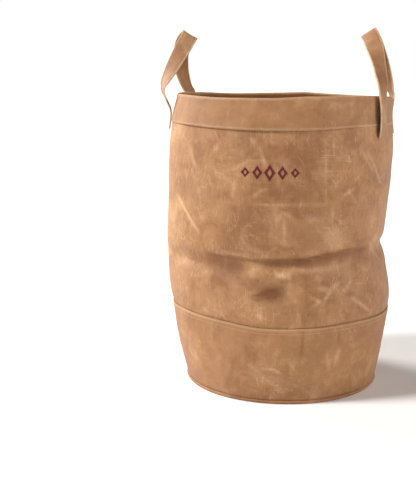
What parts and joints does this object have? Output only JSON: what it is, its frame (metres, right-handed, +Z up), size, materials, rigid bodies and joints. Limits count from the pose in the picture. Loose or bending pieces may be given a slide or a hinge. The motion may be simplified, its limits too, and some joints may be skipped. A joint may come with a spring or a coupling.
{
  "type": "canvas storage tote",
  "caption": "Tall round waxed-canvas storage tote, open at the top, with a turned rim band, a lower reinforcing band, a round base and a carry handle on each side.",
  "frame": {"origin": "centre of the base's underside, on the floor", "axes": "+Z up through the open top; -Y is the front, and the two handles lie on the -X and +X sides"},
  "size_m": [0.4462, 0.4257, 0.6784],
  "materials": {
    "wall": "waxed canvas, creased",
    "rim_band": "waxed canvas",
    "lower_band": "waxed canvas",
    "base": "waxed canvas",
    "handle_left": "waxed canvas strap",
    "handle_right": "waxed canvas strap"
  },
  "bodies": {
    "root": {"wall": "wall", "rim_band": "rim_band", "lower_band": "lower_band", "base": "base", "handle_left": "handle_left", "handle_right": "handle_right"}
  },
  "joints": []
}
